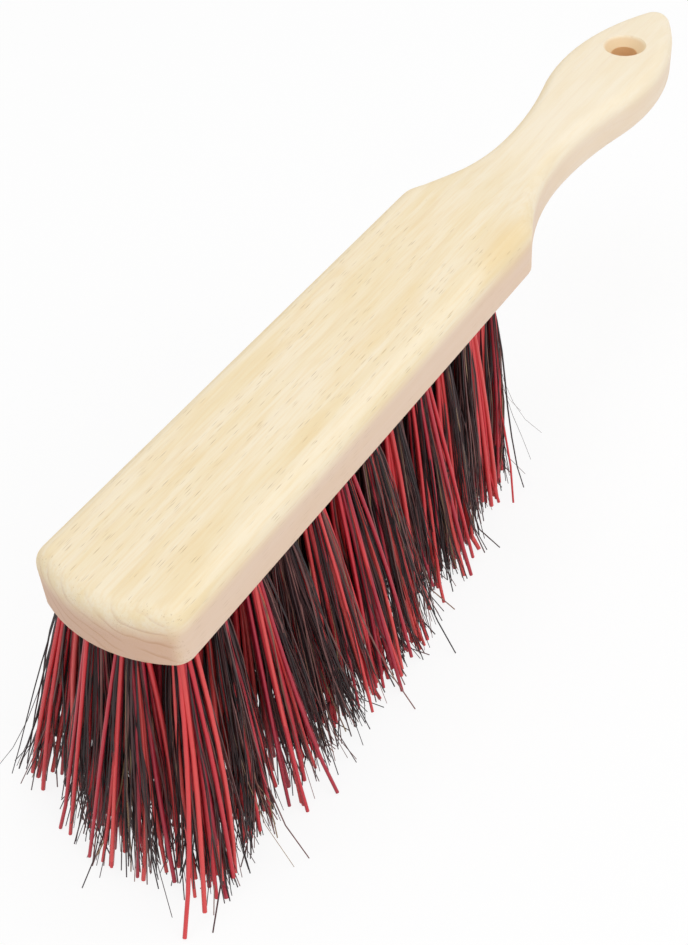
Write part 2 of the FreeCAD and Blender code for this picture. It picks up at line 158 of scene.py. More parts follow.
def ramp(tree, factor, stops):
    """The colour of a Color Ramp with these (position, colour) stops."""
    node = add_node(tree, "ValToRGB")
    feed(tree, node.inputs["Fac"], factor)
    elements = node.color_ramp.elements
    while len(elements) < len(stops):
        elements.new(1.0)
    for element, (position, shade) in zip(elements, stops):
        element.position = position
        element.color = shade
    return node.outputs["Color"]


def new_material(name):
    """An empty node material with a Principled shader, as (material, tree, shader)."""
    material = bpy.data.materials.new(name)
    material.use_nodes = True
    shader = material.node_tree.nodes["Principled BSDF"]
    return material, material.node_tree, shader


print("helpers ready")


# %% [markdown]
# ## The floor
# The broom is photographed on white, with only a faint shadow. A white floor under a large lamp would need
# a lot of light to look white, and the wood would bleach. So the floor is a matt sheet that shows mostly
# plain white to the camera, and to whatever mirrors it, and still keeps a part of the shadow.

# %% Lay the floor
FLOOR_SIZE = 8.0
FLOOR_SHADOW_SHARE = 0.14
WHITE = (1, 1, 1, 1)


def seen_by_camera(tree):
    """1 on rays that come from the camera, also by way of gloss or glass, and 0 on all others."""
    path = add_node(tree, "LightPath")
    passed_on = reckon(tree, "MAXIMUM", path.outputs["Is Glossy Ray"], path.outputs["Is Transmission Ray"])
    return reckon(tree, "MAXIMUM", path.outputs["Is Camera Ray"], passed_on)


def blend_shaders(tree, factor, first, second):
    """The shader between two shaders, as a Mix Shader node gives it."""
    node = add_node(tree, "MixShader")
    feed(tree, node.inputs["Fac"], factor)
    tree.links.new(first, node.inputs[1])
    tree.links.new(second, node.inputs[2])
    return node.outputs["Shader"]


def white_sheet():
    """Matt white, which the camera sees as plain white with a share of the shadow."""
    material, tree, shader = new_material("white_sheet")
    tree.nodes.remove(shader)
    matt = add_node(tree, "BsdfDiffuse")
    matt.inputs["Color"].default_value = WHITE
    plain_white = add_node(tree, "Emission")
    seen = blend_shaders(tree, FLOOR_SHADOW_SHARE, plain_white.outputs["Emission"], matt.outputs["BSDF"])
    sheet = blend_shaders(tree, seen_by_camera(tree), matt.outputs["BSDF"], seen)
    tree.links.new(sheet, tree.nodes["Material Output"].inputs["Surface"])
    return material


bpy.ops.object.select_all(action="DESELECT")
bpy.ops.mesh.primitive_plane_add(size=FLOOR_SIZE)
floor = bpy.context.object
floor.name = "floor"
floor.data.materials.append(white_sheet())
print("floor", FLOOR_SIZE, "m wide")


# %% [markdown]
# ## The light
# Large soft boxes light such a broom, so that no edge throws a hard shadow. Three area lamps stand for them:
# one above, one that fills the long right side and one before the nose. They could be turned up until the
# wood is bright, but then its colour would bleach. So they stay at a level where a colour renders as it
# is written, and a dim sky fills what they leave dark. The camera sees that sky as plain white.

# %% Light the studio
SKY_LEVEL = 0.48
# name, place in metres, width in metres, power in watts
LAMPS = (
    ("top_soft_box", Vector((0.10, 0.00, 1.00)), 1.0, 4.5),
    ("right_fill", Vector((-0.25, -1.05, 0.55)), 0.9, 4.0),
    ("nose_fill", Vector((-1.05, 0.35, 0.60)), 0.8, 1.6),
)

world = bpy.data.worlds.new("studio")
bpy.context.scene.world = world
world.use_nodes = True
tree = world.node_tree
sky = tree.nodes["Background"]
sky.inputs["Color"].default_value = WHITE
brightness = reckon(tree, "MULTIPLY_ADD", seen_by_camera(tree), 1 - SKY_LEVEL, SKY_LEVEL)
tree.links.new(brightness, sky.inputs["Strength"])

for name, place, width, power in LAMPS:
    bpy.ops.object.select_all(action="DESELECT")
    bpy.ops.object.light_add(type="AREA", location=place)
    lamp = bpy.context.object
    lamp.name = name
    lamp.data.size = width
    lamp.data.energy = power
    lamp.rotation_euler = place.to_track_quat("Z", "Y").to_euler()
print("sky", SKY_LEVEL, "and", len(LAMPS), "lamps")


# %% [markdown]
# ## Wood grain from noise
# Every mark in a board is longer than it is wide, because the tree grew that way. An image of wood would show
# seams at the edges. A noise in coordinates that are stretched along the board has none, and runs on from
# the top over the sides and into the handle. A pattern's grain is the length and width of its marks in
# millimetres, and low and high are the levels of the noise between which a mark fades in.

# %% Grain helpers
def place_in_millimetres(tree):
    """Where a point of the piece lies, in millimetres."""
    coordinates = add_node(tree, "TexCoord")
    scaled = add_node(tree, "VectorMath", operation="SCALE")
    tree.links.new(coordinates.outputs["Object"], scaled.inputs[0])
    scaled.inputs["Scale"].default_value = 1 / MM
    return scaled.outputs["Vector"]


def stretched(tree, place, grain):
    """Coordinates in which one unit is one mark of this grain."""
    along, across = grain
    node = add_node(tree, "Mapping")
    tree.links.new(place, node.inputs["Vector"])
    node.inputs["Scale"].default_value = (1 / along, 1 / across, 1 / across)
    return node.outputs["Vector"]


def grain_noise(tree, place, grain, detail=2.0):
    """A Noise Texture node with marks of this grain."""
    node = add_node(tree, "TexNoise")
    tree.links.new(stretched(tree, place, grain), node.inputs["Vector"])
    node.inputs["Scale"].default_value = 1.0
    node.inputs["Detail"].default_value = detail
    return node


def smooth_step(tree, value, low, high):
    """A soft rise from 0 at low to 1 at high, where high may also be the smaller of the two."""
    node = add_node(tree, "MapRange", interpolation_type="SMOOTHSTEP")
    feed(tree, node.inputs["Value"], value)
    node.inputs["From Min"].default_value = low
    node.inputs["From Max"].default_value = high
    return node.outputs["Result"]


def drifts(tree, place, grain, low, high, detail=2.0):
    """1 in the drifts of a noise of this grain, and 0 between them."""
    level = grain_noise(tree, place, grain, detail).outputs["Fac"]
    return smooth_step(tree, level, low, high)


def axis_of(tree, vector, axis):
    """One coordinate of a vector."""
    node = add_node(tree, "SeparateXYZ")
    tree.links.new(vector, node.inputs["Vector"])
    return node.outputs[axis]


def length_of(tree, vector):
    """The length of a vector."""
    node = add_node(tree, "VectorMath", operation="LENGTH")
    tree.links.new(vector, node.inputs[0])
    return node.outputs["Value"]


print("grain helpers ready")


# %% [markdown]
# ## Growth rings
# A growth ring is a circle about the tree's pith. It shows as an arc on the sawn end of a board and hardly at
# all on the flat. A Wave Texture draws rings too, but all alike and about a fixed axis. So each ring is
# worked out as a distance from a line beside the board, bent a little by noise, and only the thin darker
# line that ends it is drawn, fading here and there.

# %% Growth rings
PITH_TO_THE_RIGHT = 46.0
PITH_ABOVE_FLOOR = 151.0
ACROSS_THE_BOARD = (0, 1, 1)
RING_SPACING = 3.7
RING_WANDER = 10.0
WANDER_GRAIN = (90, 16)
LINE_START = {"low": 0.66, "high": 0.94}
LINE_END = {"low": 1.0, "high": 0.93}
LINE_FADES = {"grain": (40, 7), "low": 0.25, "high": 0.65}


def growth_rings(tree, place):
    """Runs from 0 to 1 across each growth ring."""
    wander = (0, RING_WANDER, RING_WANDER)
    to_pith = (0, PITH_TO_THE_RIGHT - RING_WANDER / 2, -PITH_ABOVE_FLOOR - RING_WANDER / 2)
    bend = grain_noise(tree, place, WANDER_GRAIN).outputs["Color"]
    shift = reckon_vector(tree, "MULTIPLY_ADD", bend, wander, to_pith)
    from_pith = reckon_vector(tree, "MULTIPLY_ADD", place, ACROSS_THE_BOARD, shift)
    return reckon(tree, "FRACT", reckon(tree, "DIVIDE", length_of(tree, from_pith), RING_SPACING))


def ring_lines(tree, place):
    """1 on the thin darker line that ends each growth ring, and fading before it."""
    rings = growth_rings(tree, place)
    start = smooth_step(tree, rings, **LINE_START)
    end = smooth_step(tree, rings, **LINE_END)
    return reckon(tree, "MULTIPLY", reckon(tree, "MULTIPLY", start, end), drifts(tree, place, **LINE_FADES))


print("growth rings every", RING_SPACING, "mm")


# %% [markdown]
# ## Flecks
# The short dark flecks along the grain are what one knows beech by. They come in drifts, mostly on the block.
# Noise alone gives soft clouds, and a fleck is crisp. So they are thin Voronoi cells: each cell has a random
# colour, its red decides whether the cell is kept, and its green how dark the fleck is.

# %% Short flecks
BLOCK_LENGTH = 167
SHOULDERS = NOSE / MM + BLOCK_LENGTH
FLECK_GRAIN = (5.4, 0.36)
FLECK_DRIFTS = {"grain": (45, 9), "low": 0.36, "high": 0.58}
FLECK_CORE = {"low": 0.36, "high": 0.10}
FLECK_FADE_LENGTH = 30
FLECK_SHARE = 0.56
FLECK_LEAST_DEPTH = 0.12
FLECK_MORE_DEPTH = 0.50


def short_flecks(tree, place):
    """How deep a fleck is, on the short flecks that lie along the grain, and 0 beside them."""
    cells = add_node(tree, "TexVoronoi")
    tree.links.new(stretched(tree, place, FLECK_GRAIN), cells.inputs["Vector"])
    cells.inputs["Scale"].default_value = 1.0
    luck = add_node(tree, "SeparateColor")
    tree.links.new(cells.outputs["Color"], luck.inputs["Color"])
    on_block = smooth_step(tree, axis_of(tree, place, "X"), SHOULDERS, SHOULDERS - FLECK_FADE_LENGTH)
    most = reckon(tree, "MULTIPLY", on_block, FLECK_SHARE)
    share = reckon(tree, "MULTIPLY", drifts(tree, place, **FLECK_DRIFTS), most)
    kept = reckon(tree, "LESS_THAN", luck.outputs["Red"], share)
    core = smooth_step(tree, cells.outputs["Distance"], **FLECK_CORE)
    depth = reckon(tree, "MULTIPLY_ADD", luck.outputs["Green"], FLECK_MORE_DEPTH, FLECK_LEAST_DEPTH)
    return reckon(tree, "MULTIPLY", reckon(tree, "MULTIPLY", kept, core), depth)


print("flecks fade out over", FLECK_FADE_LENGTH, "mm before the shoulders")


# %% [markdown]
# ## Where the wood changes colour
# Beech isn't one colour all over. The nose's end grain is darker and pinker, and the lower half of the long
# sides turns pink; both are partly the wood's own grain and partly painted shade and painted reflection of
# the red bristles, and the nose's top edge stays light as painted light. The rounding that faces left is
# tinted tan as painted shade. The handle is paler, a tan spot lies by the right shoulder, and the hanging
# hole is darker and warmer in its dish and darker still in its bore. Vertex paint could mark these places,
# but a mask that is worked out from the place of a point and from the way its surface faces stays right if
# the board's shape changes.

# %% Masks on the board
BLOCK_TOP = block_high.z / MM
END_FACING = {"low": 0.4, "high": 0.95}
SIDE_FACING = {"low": 0.62, "high": 0.0}
# Where the rounding faces left, away from the lamps, it is tinted tan: painted shade.
LEFT_RIM_SHADE_FACING = {"low": 0.2, "high": 0.8}
# The end grain colour fades in only below the top edge, so the rounding stays light: painted light on the
# upper nose and painted shade below.
BELOW_TOP = {"low": BLOCK_TOP - 1, "high": BLOCK_TOP - 10}
# The sides' pink fades in from halfway down: painted shade and painted reflection of the red bristles below,
# partly the wood's own pinker side grain.
LOWER_HALF = {"low": BLOCK_TOP - 3, "high": BLOCK_TOP - 8}
ON_HANDLE = {"low": SHOULDERS - 10, "high": SHOULDERS + 60}
SIDE_STRENGTH = 0.8
SIDE_LESS_ON_HANDLE = -0.4
WARM_SPOT = Vector((SHOULDERS - 9, -17, BLOCK_TOP - 3))
WARM_SPOT_GRAIN = (16, 7)
WARM_SPOT_FADE = {"low": 1.3, "high": 0.2}
LEVEL = (1, 1, 0)
mounts = {mount["name"]: mount for mount in frame["record"]["mounts"]}
hole_place = Vector(mounts["hanging_hole"]["pos_m"]) / MM


def board_masks(tree, place, normal):
    """How far a point belongs to each zone of the board, by the zone's name."""
    height = axis_of(tree, place, "Z")
    endwise = smooth_step(tree, reckon(tree, "ABSOLUTE", axis_of(tree, normal, "X")), **END_FACING)
    sideways = smooth_step(tree, axis_of(tree, normal, "Z"), **SIDE_FACING)
    on_handle = smooth_step(tree, axis_of(tree, place, "X"), **ON_HANDLE)
    # The side tint is partly the wood's own pinker grain and partly painted shade and painted reflection of
    # the red bristles, weaker on the handle.
    side = reckon(tree, "MULTIPLY", sideways, reckon(tree, "SUBTRACT", 1.0, endwise))
    strength = reckon(tree, "MULTIPLY_ADD", on_handle, SIDE_LESS_ON_HANDLE, SIDE_STRENGTH)
    lower_half = smooth_step(tree, height, **LOWER_HALF)
    return {
        "endwise": endwise,
        "end_grain_and_shade": reckon(tree, "MULTIPLY", endwise, smooth_step(tree, height, **BELOW_TOP)),
        "side": reckon(tree, "MULTIPLY", side, reckon(tree, "MULTIPLY", lower_half, strength)),
        "handle": on_handle,
        "left_rim_shade": smooth_step(tree, axis_of(tree, normal, "Y"), **LEFT_RIM_SHADE_FACING),
    }


def warm_spot(tree, place):
    """1 in the middle of the tan spot by the right shoulder, fading along the grain."""
    aside = reckon_vector(tree, "SUBTRACT", place, WARM_SPOT)
    return smooth_step(tree, length_of(tree, stretched(tree, aside, WARM_SPOT_GRAIN)), **WARM_SPOT_FADE)


def from_hole(tree, place):
    """How far a place is from the axis of the hanging hole, in millimetres."""
    to_axis = (-hole_place.x, -hole_place.y, 0)
    return length_of(tree, reckon_vector(tree, "MULTIPLY_ADD", place, LEVEL, to_axis))


print("board masks: shoulders at", round(SHOULDERS, 1), "mm, top at", round(BLOCK_TOP, 1), "mm")


# %% [markdown]
# ## The beech finish
# Now the colours go on in the order in which one would glaze a board: cream with broad warm streaks, patches
# and fine fibres first, then the paler handle, the tan painted shade on the left-facing rounding and the pink
# sides with their painted shade and painted reflection of the red bristles, then end grain with its painted
# shade, and rings, and the darker wood of the hole last. One flat cream would be quicker, but it looks like
# plastic. The wood is sanded and not varnished, so it is rather rough, and its flecks lie a little deeper
# than the rest.

# %% Mix the beech finish
CREAM = colour(245, 231, 203)
STREAK = colour(241, 223, 185)
# This tan serves the wood's warm patches, fibres and spot, and also painted shade on the left-facing
# rounding.
WARM_PATCH_AND_RIM_SHADE = colour(235, 207, 152)
PALE_HANDLE = colour(249, 238, 218)
# A pinker, darker side colour: partly the wood's side grain, partly painted shade and painted reflection of
# the red bristles.
SIDE_GRAIN_SHADE_AND_BOUNCE = colour(222, 193, 173)
# The wood's darker end grain, and also painted shade and painted reflection of the red bristles on the nose.
END_GRAIN_AND_SHADE = colour(206, 164, 140)
RING_LINE = colour(192, 146, 112)
FLECK = colour(170, 134, 84)
# The hanging hole is darker and warmer in its dish, and darker still in its bore.
DARKER_DISH = colour(234, 207, 166)
DARKER_BORE = colour(228, 184, 132)
STREAKS = {"grain": (45, 3.6), "low": 0.35, "high": 0.7, "detail": 3.0}
PATCHES = {"grain": (26, 6), "low": 0.5, "high": 0.75, "detail": 3.0}
FIBRES = {"grain": (12, 0.7), "low": 0.4, "high": 0.7}
PATCH_STRENGTH = 0.38
FIBRE_STRENGTH = 0.3
HANDLE_STRENGTH = 0.5
LEFT_RIM_SHADE_STRENGTH = 0.5
WARM_SPOT_STRENGTH = 0.6
END_GRAIN_STRENGTH = 0.85
RING_ON_FLAT = 0.05
RING_MORE_ON_ENDS = 0.18
RING_MORE_ON_END_GRAIN = 0.45
DISH_REACH = 6.9
DISH_FADE = 1
BORE_REACH = 4.3
BORE_FADE = 0.3
PORE_GRAIN = (6, 0.35)
PORE_DETAIL = 3.0
LEAST_ROUGH = 0.46
MORE_ROUGH = 0.18
PORE_STRENGTH = 0.25
PORE_DEPTH = 0.05 * MM


def tint(tree, shade, mask, strength, other):
    """A shade turned towards another colour where the mask is 1, as far as strength says."""
    return blend_colours(tree, reckon(tree, "MULTIPLY", mask, strength), shade, other)


def beech_colour(tree, place, normal):
    """The colour of beech at a place, by the way that its surface faces, with painted shade on the
    left-facing rounding, the sides and the nose.
    """
    masks = board_masks(tree, place, normal)
    shade = blend_colours(tree, drifts(tree, place, **STREAKS), CREAM, STREAK)
    shade = tint(tree, shade, drifts(tree, place, **PATCHES), PATCH_STRENGTH, WARM_PATCH_AND_RIM_SHADE)
    shade = tint(tree, shade, drifts(tree, place, **FIBRES), FIBRE_STRENGTH, WARM_PATCH_AND_RIM_SHADE)
    shade = tint(tree, shade, masks["handle"], HANDLE_STRENGTH, PALE_HANDLE)
    # Painted shade: the left-facing rounding is tinted tan.
    shade = tint(tree, shade, masks["left_rim_shade"], LEFT_RIM_SHADE_STRENGTH, WARM_PATCH_AND_RIM_SHADE)
    # Painted shade and painted reflection of the red bristles, with the wood's own pinker side grain, on the
    # lower half of the sides.
    shade = blend_colours(tree, masks["side"], shade, SIDE_GRAIN_SHADE_AND_BOUNCE)
    shade = tint(tree, shade, warm_spot(tree, place), WARM_SPOT_STRENGTH, WARM_PATCH_AND_RIM_SHADE)
    # End grain with painted shade and painted reflection of the red bristles, below the light top edge.
    shade = tint(tree, shade, masks["end_grain_and_shade"], END_GRAIN_STRENGTH, END_GRAIN_AND_SHADE)
    ring_strength = reckon(tree, "MULTIPLY_ADD", masks["endwise"], RING_MORE_ON_ENDS, RING_ON_FLAT)
    ring_strength = reckon(tree, "MULTIPLY_ADD", masks["end_grain_and_shade"], RING_MORE_ON_END_GRAIN, ring_strength)
    shade = tint(tree, shade, ring_lines(tree, place), ring_strength, RING_LINE)
    away = from_hole(tree, place)
    # Darker and warmer in the hole's dish, darker still in its bore.
    shade = blend_colours(tree, smooth_step(tree, away, DISH_REACH, DISH_REACH - DISH_FADE), shade, DARKER_DISH)
    return blend_colours(tree, smooth_step(tree, away, BORE_REACH, BORE_REACH - BORE_FADE), shade, DARKER_BORE)


def beech_finish():
    """Pale, sanded beech with rings, streaks, flecks and deeper end grain, and painted shade and painted
    reflection of the red bristles on its sides and nose.
    """
    material, tree, shader = new_material("beech_wood")
    place = place_in_millimetres(tree)
    normal = add_node(tree, "TexCoord").outputs["Normal"]
    flecks = short_flecks(tree, place)
    plain = beech_colour(tree, place, normal)
    tree.links.new(blend_colours(tree, flecks, plain, FLECK), shader.inputs["Base Color"])

    pores = grain_noise(tree, place, PORE_GRAIN, PORE_DETAIL).outputs["Fac"]
    rough = reckon(tree, "MULTIPLY_ADD", pores, MORE_ROUGH, LEAST_ROUGH)
    tree.links.new(rough, shader.inputs["Roughness"])
    bump = add_node(tree, "Bump")
    bump.inputs["Strength"].default_value = PORE_STRENGTH
    bump.inputs["Distance"].default_value = PORE_DEPTH
    tree.links.new(reckon(tree, "SUBTRACT", pores, flecks), bump.inputs["Height"])
    tree.links.new(bump.outputs["Normal"], shader.inputs["Normal"])
    return material


beech = beech_finish()
print("beech finish:", len(beech.node_tree.nodes), "nodes")


# %% [markdown]
# ## The wooden block and handle
# The board is carved from one piece: a flat block with a bowed nose, rounded top edges, shoulders, and a
# handle that is turned down a little and drilled near its end. The construction model already has that
# shape, so it isn't modelled twice. A copy of its mesh is welded, because it comes as loose triangles,
# and shaded smooth except along its crisp edges.

# %% Finish the block
WELD = 0.002 * MM
CRISP_EDGE = math.radians(30)


def only(piece):
    """Makes a piece the only one selected, and the active one."""
    bpy.ops.object.select_all(action="DESELECT")
    piece.select_set(True)
    bpy.context.view_layer.objects.active = piece


def copy_of(node, name):
    """A copy of a CAD node, with a mesh and a name of its own."""
    piece = frame["nodes"][node].copy()
    piece.data = piece.data.copy()
    piece.name = name
    bpy.context.collection.objects.link(piece)
    piece.data.materials.clear()
    return piece


wood = copy_of("block", "beech_block")
only(wood)
bpy.ops.object.mode_set(mode="EDIT")
bpy.ops.mesh.select_all(action="SELECT")
bpy.ops.mesh.remove_doubles(threshold=WELD)
bpy.ops.mesh.customdata_custom_splitnormals_clear()
bpy.ops.object.mode_set(mode="OBJECT")
wood.data.materials.append(beech)
bpy.ops.object.shade_smooth_by_angle(angle=CRISP_EDGE)
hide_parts("block")
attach(wood, BODY)
print("block:", len(wood.data.polygons), "faces")


# %% [markdown]
# ## Where the tufts stand
# Each tuft is folded over a steel strip at the bottom of its hole, so it leaves the wood as a tight round
# bundle and opens towards its tips. The construction model knows the hole, the lean and the place of the
# tips of every tuft. Reading them from its solids keeps the bristles true to it, also if it changes.

# %% Read the tufts
ROWS = ("left_outer", "left_inner", "right_inner", "right_outer")
TIP_SLICE = 0.5 * MM


def middle(points):
    """The mean of some points."""
    return sum(points, Vector()) / len(points)


def tuft_line(node):
    """Where a tuft leaves the wood, and the middle of its tips on the floor."""
    points = [vertex.co.copy() for vertex in frame["nodes"][node].data.vertices]
    tips = middle([point for point in points if point.z < TIP_SLICE])
    held = middle([point for point in points if point.z > UNDERSIDE])
    mouth = held.lerp(tips, (held.z - UNDERSIDE) / (held.z - tips.z))
    return mouth, tips


tuft_names = {row: sorted(name for name in frame["nodes"] if name.startswith("tuft_" + row)) for row in ROWS}
tuft_lines = {row: [tuft_line(name) for name in tuft_names[row]] for row in ROWS}
print("tufts:", {row: len(lines) for row, lines in tuft_lines.items()})


# %% [markdown]
# ## The bristle finishes
# Two kinds of bristle are mixed in every tuft. The red ones are thick plastic filament with a soft gloss,
# the dark ones are palm fibre from black to brown, with a tan one here and there. A material for each
# shade would be many materials, so every bristle carries a number on its mesh, its tone. One node group
# mottles it along the bristle, and both finishes turn the result into a shade of their own colours.

# %% Mix the bristle finishes
MOTTLE_GRAIN = (4, 4)
# The red stops run from the crimson of a red in shade to the red-orange of a lit red with its highlight,
# given to the bristles at random: partly a real spread of tone, partly painted shade and painted highlight.
RED_STOPS = (
    (0.0, colour(168, 36, 58)),
    (0.45, colour(210, 48, 58)),
    (1.0, colour(222, 78, 76)),
)
DARK_STOPS = (
    (0.0, colour(22, 10, 14)),
    (0.5, colour(68, 36, 38)),
    (0.88, colour(132, 86, 82)),
    (1.0, colour(154, 130, 96)),
)


def bristle_shade_group():
    """A node group: each bristle's own tone, mottled along its length."""
    group = bpy.data.node_groups.new("bristle_shade", "ShaderNodeTree")
    group.interface.new_socket("Mottle", in_out="INPUT", socket_type="NodeSocketFloat")
    group.interface.new_socket("Shade", in_out="OUTPUT", socket_type="NodeSocketFloat")
    given = group.nodes.new("NodeGroupInput")
    result = group.nodes.new("NodeGroupOutput")
    tone = add_node(group, "Attribute", attribute_name="tone")
    spots = grain_noise(group, place_in_millimetres(group), MOTTLE_GRAIN).outputs["Fac"]
    swing = reckon(group, "MULTIPLY", reckon(group, "SUBTRACT", spots, 0.5), given.outputs["Mottle"])
    group.links.new(reckon(group, "ADD", tone.outputs["Fac"], swing), result.inputs["Shade"])
    return group


bristle_shade = bristle_shade_group()


def bristle_finish(name, stops, mottle, roughness):
    """A bristle material that runs through these colour stops with the bristle's shade."""
    material, tree, shader = new_material(name)
    shade = add_node(tree, "Group", node_tree=bristle_shade)
    shade.inputs["Mottle"].default_value = mottle
    tree.links.new(ramp(tree, shade.outputs["Shade"], stops), shader.inputs["Base Color"])
    shader.inputs["Roughness"].default_value = roughness
    return material


red_plastic = bristle_finish("red_filament", RED_STOPS, mottle=0.25, roughness=0.38)
dark_fibre = bristle_finish("dark_palm_fibre", DARK_STOPS, mottle=0.3, roughness=0.5)
print("bristle finishes:", red_plastic.name, dark_fibre.name)


# %% [markdown]
# ## The course of a bristle
# A bristle starts inside its hole, follows its tuft and opens outwards, with a bow, a wave and sometimes a
# hooked tip of its own. A stretched cylinder couldn't bend, so each bristle is a path of eight points. Tips
# that are longer than the broom is high splay along the floor. The right corner of the nose is worn
# open, and the rear end draws in.

# %% Bristle paths
SEED = 5
STEPS = 8
HELD_DEPTH = 3.0 * MM
MOUTH_RADIUS = 2.4 * MM
SPREAD_ALONG = 8.0 * MM
SPREAD_OUT = 6.8 * MM
SPREAD_IN = 11.0 * MM
NOSE_ZONE = 45 * MM
NOSE_SPLAY = 17 * MM
NOSE_WEAR = 0.36
NOSE_WEAR_TO_THE_LEFT = -0.26
REAR_ZONE = 60 * MM
REAR_DRAW = 0.3
SIDE_LIMIT = 44 * MM
HALF_WAVES = 2.4
SPLAY_POWER = 3
HOOK_POWER = 9
STRAIGHT = Vector((0, 0, 0))
mouths = [mouth for row in ROWS for mouth, _ in tuft_lines[row]]
FIELD_HALF = max(mouth.y for mouth in mouths)
FIELD_REAR = max(mouth.x for mouth in mouths)
chance = random.Random(SEED)


def flat_direction(angle):
    """A level direction at this angle."""
    return Vector((math.cos(angle), math.sin(angle), 0))


def random_spot():
    """A random place in a disc of radius 1, evenly spread."""
    return flat_direction(chance.uniform(0, math.tau)) * math.sqrt(chance.random())


def tip_place(line, spot):
    """Where the tip of the bristle at this spot of a tuft stands.

    Tufts open more towards each other than outwards, wear has pushed the nose forwards, most on the
    right, and the rear end is drawn in.
    """
    mouth, tips = line
    outwards = spot.y * mouth.y > 0 and abs(mouth.y) > FIELD_HALF / 2
    near_nose = max(0.0, 1 - (mouth.x - NOSE) / NOSE_ZONE)
    near_rear = max(0.0, 1 - (FIELD_REAR - mouth.x) / REAR_ZONE)
    wear = NOSE_WEAR + NOSE_WEAR_TO_THE_LEFT * mouth.y / FIELD_HALF
    place = tips + Vector((spot.x * SPREAD_ALONG, spot.y * (SPREAD_OUT if outwards else SPREAD_IN), 0))
    place.x -= NOSE_SPLAY * near_nose * wear * chance.random()
    place.y *= 1 - REAR_DRAW * near_rear
    return place


def bristle_path(line, spot, reach, lift, bow=STRAIGHT, wave=STRAIGHT, splay=STRAIGHT, hook=STRAIGHT):
    """The points of one bristle of a tuft, from inside its hole to its tip.

    spot is its place in the tuft's round section, reach the share of the full length that it has and
    lift the least height of its points. bow swings its middle out, wave bends it to and fro, splay
    carries its lower half away and hook turns its tip.
    """
    mouth, tips = line
    start = mouth + spot * MOUTH_RADIUS
    start += (mouth - tips).normalized() * HELD_DEPTH
    end = tip_place(line, spot)
    points = []
    for step in range(STEPS):
        share = step / (STEPS - 1) * reach
        place = start.lerp(end, share)
        place += bow * math.sin(math.pi * share) + wave * math.sin(HALF_WAVES * math.pi * share)
        place += splay * share**SPLAY_POWER + hook * share**HOOK_POWER
        place.y = max(-SIDE_LIMIT, min(SIDE_LIMIT, place.y))
        place.z = max(place.z, lift)
        points.append(place)
    return points


print("bristles have", STEPS, "points each")


# %% [markdown]
# ## From paths to bristles
# Thousands of separate objects would be slow, so a row's bristles of one kind share one curve object. A round
# bevel gives the curve its thickness, each point's radius thins it towards the tip, and the curve is then
# made a mesh. Its points come out bristle by bristle, so each one's tone can be written onto them.

# %% Bristle meshes
ROUND_EDGE = math.radians(65)


def draw_bristles(name, paths, radii, taper, sides_level):
    """A mesh of many bristles: one bevelled curve per path, converted to a mesh."""
    curve = bpy.data.curves.new(name, "CURVE")
    curve.dimensions = "3D"
    curve.bevel_depth = 1.0
    curve.bevel_resolution = sides_level
    for path, radius in zip(paths, radii):
        spline = curve.splines.new("POLY")
        spline.points.add(STEPS - 1)
        for step, (point, place) in enumerate(zip(spline.points, path)):
            point.co = (*place, 1)
            point.radius = radius * (1 - taper * (step / (STEPS - 1)) ** 2)
    piece = bpy.data.objects.new(name, curve)
    bpy.context.collection.objects.link(piece)
    only(piece)
    bpy.ops.object.convert(target="MESH")
    return bpy.context.object


def label_bristles(piece, tones):
    """Writes each bristle's tone onto the mesh, then closes the ends."""
    mesh = piece.data
    each = len(mesh.vertices) // len(tones)
    ring = each // STEPS
    tone = mesh.attributes.new("tone", "FLOAT", "POINT")
    for index in range(len(mesh.vertices)):
        tone.data[index].value = tones[index // each]
    only(piece)
    bpy.ops.object.mode_set(mode="EDIT")
    bpy.ops.mesh.select_all(action="SELECT")
    bpy.ops.mesh.fill_holes(sides=ring)
    bpy.ops.object.mode_set(mode="OBJECT")
    bpy.ops.object.shade_smooth_by_angle(angle=ROUND_EDGE)


print("bristle mesh helpers ready")


# %% [markdown]
# ## Red filaments
# The red filaments are stiff and nearly straight. They lie in small bundles of two to four that stay
# together from the wood to the tips, and that is what gives the broom its red stripes. Spread evenly, they
# would blur to one tone. So a tuft gets a few bundle places first, and each bundle's filaments are packed
# side by side about its place. A few are longer than the rest.

# %% Red filament paths
RED_RADIUS = 0.63 * MM
RED_RADIUS_SPREAD = (0.75, 1.2)
BUNDLES = (6, 9)
BUNDLE_SIZE = (2, 4)
BUNDLE_FIELD = 0.95
BUNDLE_GAP = 0.42
BUNDLE_LEAN = 2.5 * MM
BUNDLE_SWAY = 1.3 * MM
RED_REACH = {"mu": 0.975, "sigma": 0.035}
RED_REACH_LIMIT = 1.03
RED_LEAN = 2.0 * MM
RED_SWAY = 0.6 * MM
LONG_SHARE = 0.06
LONG_REACH = 1.1


def red_filaments(line):
    """The paths and radii of one tuft's red filaments."""
    paths = []
    radii = []
    for _ in range(chance.randint(*BUNDLES)):
        place = random_spot() * BUNDLE_FIELD
        lean = random_spot() * BUNDLE_LEAN
        sway = random_spot() * BUNDLE_SWAY
        for member in range(chance.randint(*BUNDLE_SIZE)):
            turn = chance.uniform(0, math.tau)
            spot = place + flat_direction(turn) * (BUNDLE_GAP if member else 0)
            radius = RED_RADIUS * chance.uniform(*RED_RADIUS_SPREAD)
            reach = min(RED_REACH_LIMIT, chance.gauss(**RED_REACH))
            if chance.random() < LONG_SHARE:
                reach = LONG_REACH
            splay = lean + random_spot() * RED_LEAN
            bow = sway + random_spot() * RED_SWAY
            paths.append(bristle_path(line, spot, reach, radius, bow=bow, splay=splay))
            radii.append(radius)
    return paths, radii


print("red filaments: up to", BUNDLES[1] * BUNDLE_SIZE[1], "in a tuft")


